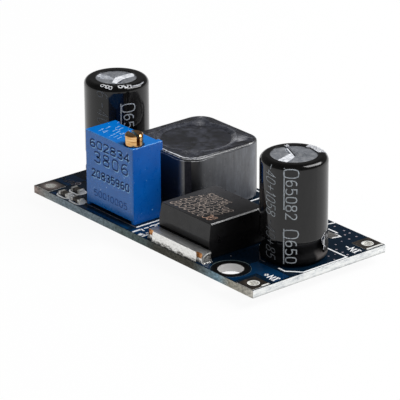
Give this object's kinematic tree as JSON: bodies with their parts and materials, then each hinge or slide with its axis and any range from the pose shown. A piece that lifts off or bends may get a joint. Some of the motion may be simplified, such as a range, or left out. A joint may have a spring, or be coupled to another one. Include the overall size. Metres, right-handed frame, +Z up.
{
  "type": "buck converter module",
  "caption": "Small blue step-down voltage converter board with upright capacitors, a shielded inductor, a tab-cooled regulator and a blue trimmer with a brass screw",
  "frame": {"origin": "middle of the board seen from above, at the level of the trimmed lead tips under it", "axes": "+X along the board towards the input end, +Y across the board towards the edge behind the inductor, +Z up out of the component side"},
  "size_m": [0.0432, 0.0212, 0.0159],
  "materials": {
    "board_laminate": "blue solder mask over glass laminate",
    "tinned_metal": "tinned and slightly dull",
    "can_aluminium": "stamped, lightly mottled",
    "black_film": "shrunk glossy film with pale print",
    "black_rubber": "matt",
    "ferrite": "sintered dark grey",
    "copper_wire": "enamelled copper",
    "grey_glue": "cured epoxy",
    "black_moulding": "moulded epoxy with laser marks",
    "blue_case": "moulded blue plastic with engraved print",
    "brass_screw": "turned brass",
    "chip_ceramic": "brown ceramic"
  },
  "bodies": {
    "module": {"board": "board_laminate", "chip_back_left_block": "chip_ceramic", "chip_back_left_cap_left": "tinned_metal", "chip_back_left_cap_right": "tinned_metal", "chip_front_left_block": "chip_ceramic", "chip_front_left_cap_left": "tinned_metal", "chip_front_left_cap_right": "tinned_metal", "chip_front_right_block": "chip_ceramic", "chip_front_right_cap_left": "tinned_metal", "chip_front_right_cap_right": "tinned_metal", "diode_block": "black_moulding", "diode_strip_anode": "tinned_metal", "diode_strip_cathode": "tinned_metal", "inductor_base": "black_moulding", "inductor_clip_in": "tinned_metal", "inductor_clip_out": "tinned_metal", "inductor_core": "ferrite", "inductor_glue": "grey_glue", "inductor_shield": "ferrite", "inductor_winding": "copper_wire", "input_can": "can_aluminium", "input_film": "black_film", "input_lead_neg": "tinned_metal", "input_lead_pos": "tinned_metal", "input_seal": "black_rubber", "input_solder_neg": "tinned_metal", "input_solder_pos": "tinned_metal", "land_in_neg": "tinned_metal", "land_in_pos": "tinned_metal", "land_out_neg": "tinned_metal", "land_out_pos": "tinned_metal", "output_can": "can_aluminium", "output_film": "black_film", "output_lead_neg": "tinned_metal", "output_lead_pos": "tinned_metal", "output_seal": "black_rubber", "output_solder_neg": "tinned_metal", "output_solder_pos": "tinned_metal", "regulator_lead_1": "tinned_metal", "regulator_lead_2": "tinned_metal", "regulator_lead_4": "tinned_metal", "regulator_lead_5": "tinned_metal", "regulator_package": "black_moulding", "regulator_tab": "tinned_metal", "trimmer_case": "blue_case", "trimmer_pin_1": "tinned_metal", "trimmer_pin_2": "tinned_metal", "trimmer_pin_3": "tinned_metal", "trimmer_potting": "grey_glue", "trimmer_solder_1": "tinned_metal", "trimmer_solder_2": "tinned_metal", "trimmer_solder_3": "tinned_metal"},
    "screw": {"trimmer_screw": "brass_screw"}
  },
  "joints": [
    {"name": "trimmer_turn", "type": "hinge", "parent": "module", "child": "screw", "pos_m": [-0.00435, -0.0077, 0.0123], "axis": [0, 0, 1], "continuous": true}
  ]
}
